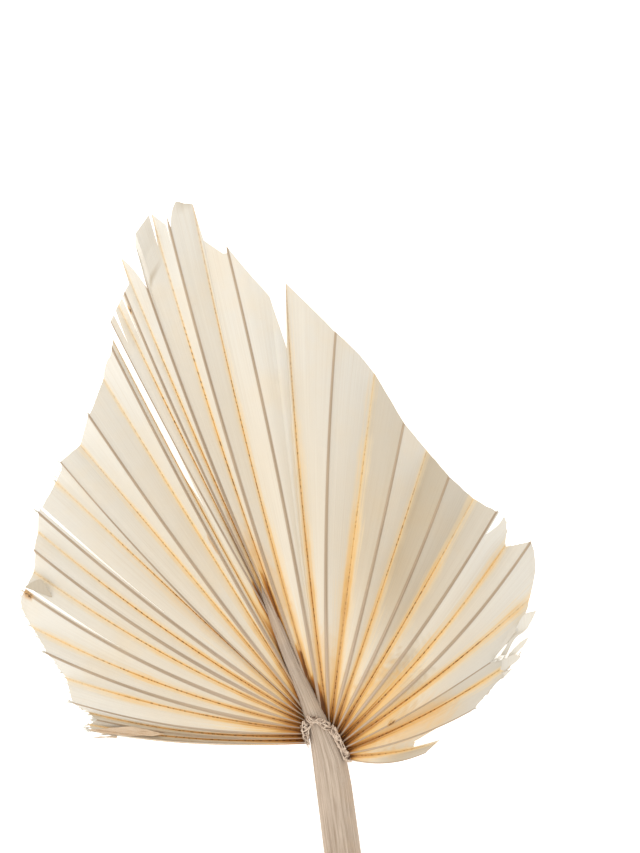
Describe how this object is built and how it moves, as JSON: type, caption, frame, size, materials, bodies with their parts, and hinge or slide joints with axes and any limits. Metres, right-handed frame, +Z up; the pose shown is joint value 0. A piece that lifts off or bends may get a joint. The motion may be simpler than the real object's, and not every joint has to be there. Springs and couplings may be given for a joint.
{
  "type": "dried fan palm leaf",
  "caption": "Dried pleated fan palm leaf on a cut stem, trimmed to a spade shape, lying flat; for dry arrangements and set dressing.",
  "frame": {"origin": "on the surface the leaf lies on, under the crest where stem and fan meet, on the stem's flat underside", "axes": "+Y along the stem towards the fan's tip, +Z up out of the surface, X across the fan"},
  "size_m": [0.2545, 0.4648, 0.0197],
  "materials": {
    "stem_straw": "dry, fibrous, matte",
    "crest_straw": "rough, fibrous, matte",
    "blade_straw": "dry, papery, finely ribbed, matte"
  },
  "bodies": {
    "root": {"stem": "stem_straw", "crest": "crest_straw", "blade": "blade_straw"}
  },
  "joints": []
}
